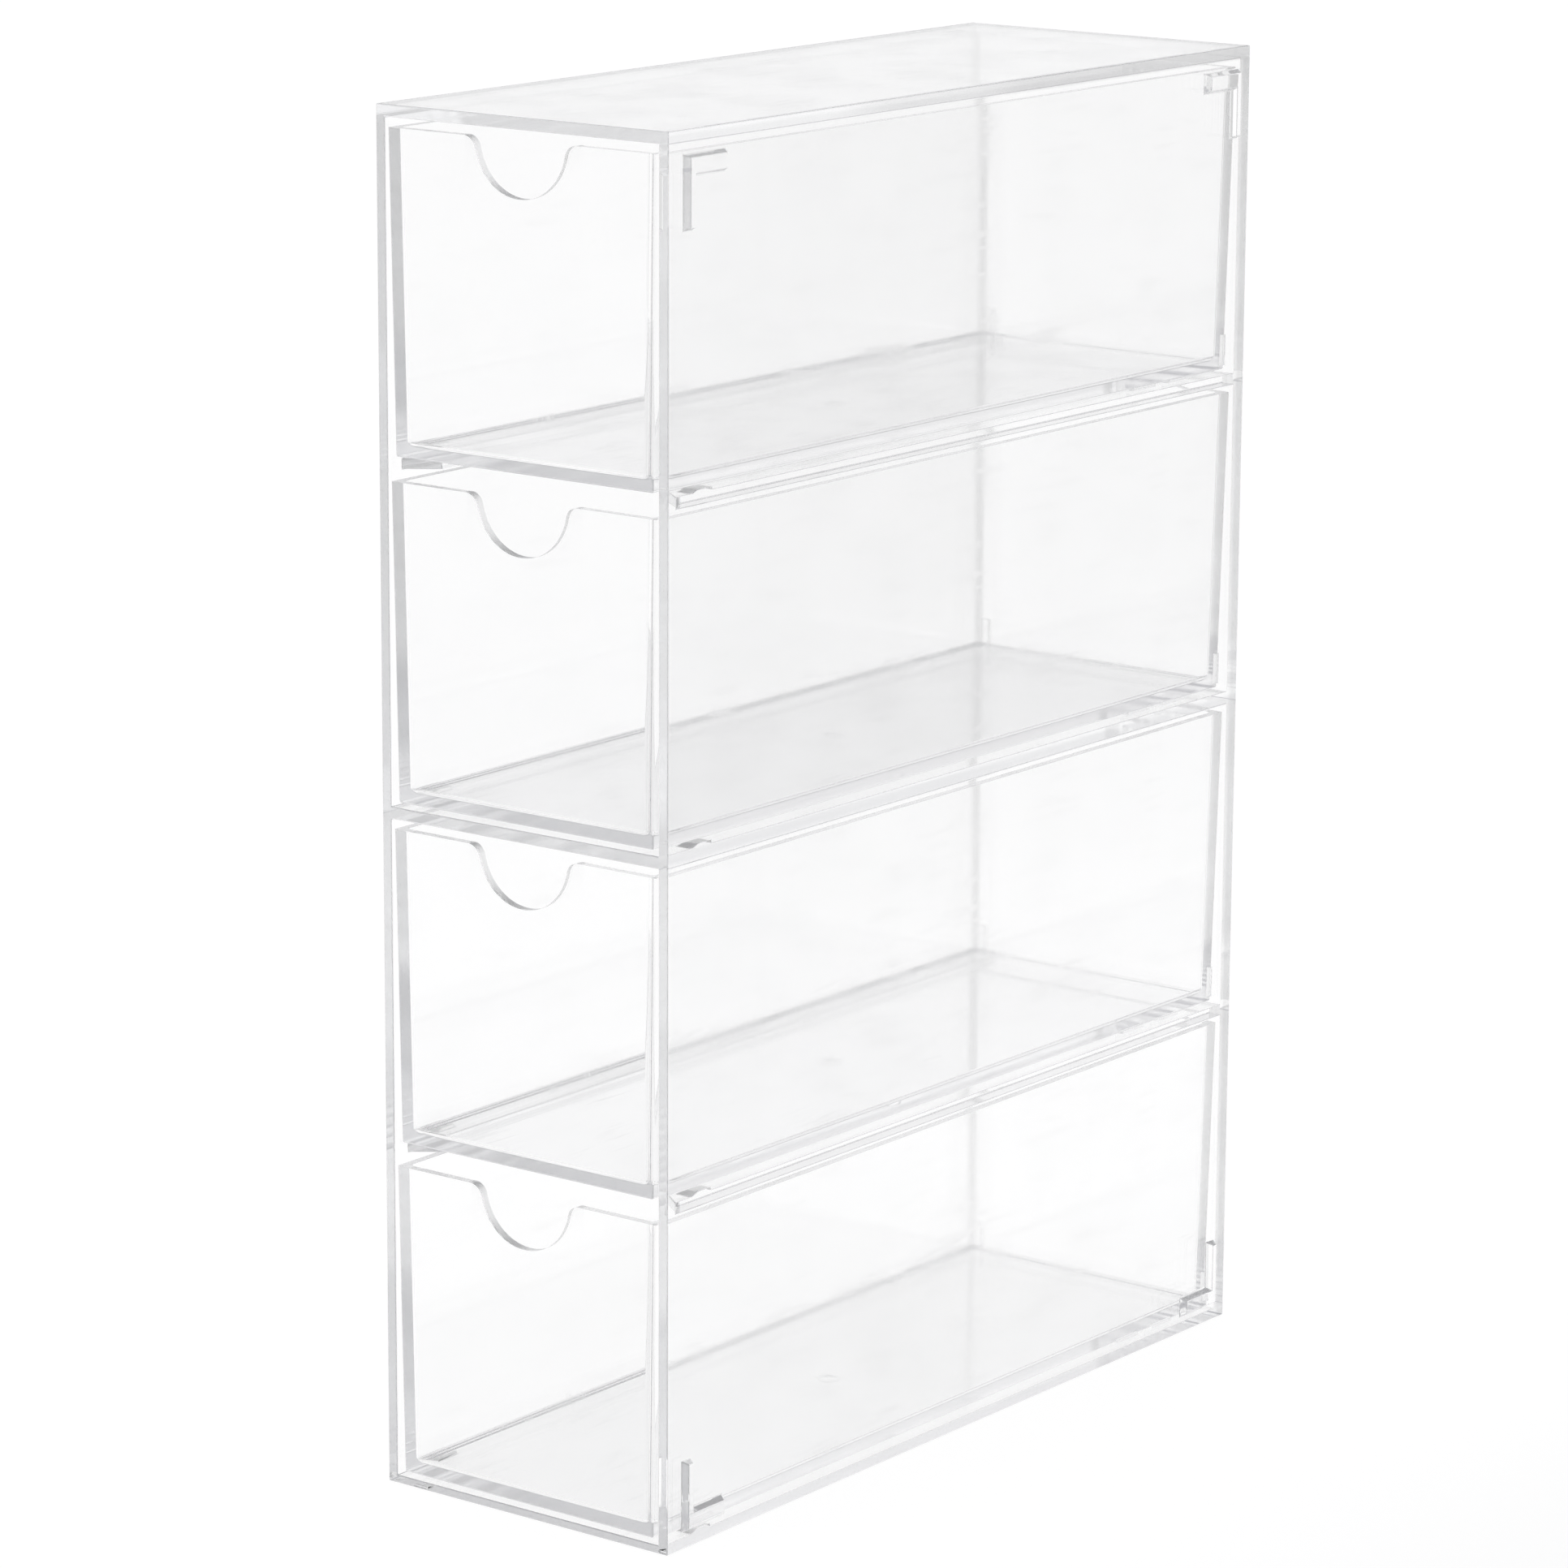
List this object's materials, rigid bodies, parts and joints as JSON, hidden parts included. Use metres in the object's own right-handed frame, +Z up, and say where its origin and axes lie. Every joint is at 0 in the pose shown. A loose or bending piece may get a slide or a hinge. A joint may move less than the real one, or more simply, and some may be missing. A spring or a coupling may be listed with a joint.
{
  "type": "drawer tower",
  "caption": "Tall narrow clear acrylic case holding a column of identical pull-out drawers, each with a half-round finger notch, and raised L-shaped locating ribs on the right side panel.",
  "frame": {"origin": "centre of the case's footprint, on the surface it stands on", "axes": "+Z up, drawers open towards -Y, +X to the right seen from the front"},
  "size_m": [0.0657, 0.176, 0.25],
  "materials": {
    "clear_case": "polished clear acrylic, bonded panels",
    "clear_drawer": "polished clear acrylic, one-piece moulding"
  },
  "bodies": {
    "case": {"top_panel": "clear_case", "bottom_panel": "clear_case", "left_side_panel": "clear_case", "right_side_panel": "clear_case", "back_panel": "clear_case", "middle_shelf": "clear_case", "upper_left_rail": "clear_case", "upper_right_rail": "clear_case", "lower_left_rail": "clear_case", "lower_right_rail": "clear_case"},
    "drawer_1": {"drawer_1": "clear_drawer"},
    "drawer_2": {"drawer_2": "clear_drawer"},
    "drawer_3": {"drawer_3": "clear_drawer"},
    "drawer_4": {"drawer_4": "clear_drawer"}
  },
  "joints": [
    {"name": "drawer_1_slide", "type": "slide", "parent": "case", "child": "drawer_1", "axis": [0, -1, 0], "range_m": [0, 0.1288]},
    {"name": "drawer_2_slide", "type": "slide", "parent": "case", "child": "drawer_2", "axis": [0, -1, 0], "range_m": [0, 0.1288]},
    {"name": "drawer_3_slide", "type": "slide", "parent": "case", "child": "drawer_3", "axis": [0, -1, 0], "range_m": [0, 0.1288]},
    {"name": "drawer_4_slide", "type": "slide", "parent": "case", "child": "drawer_4", "axis": [0, -1, 0], "range_m": [0, 0.1288]}
  ]
}
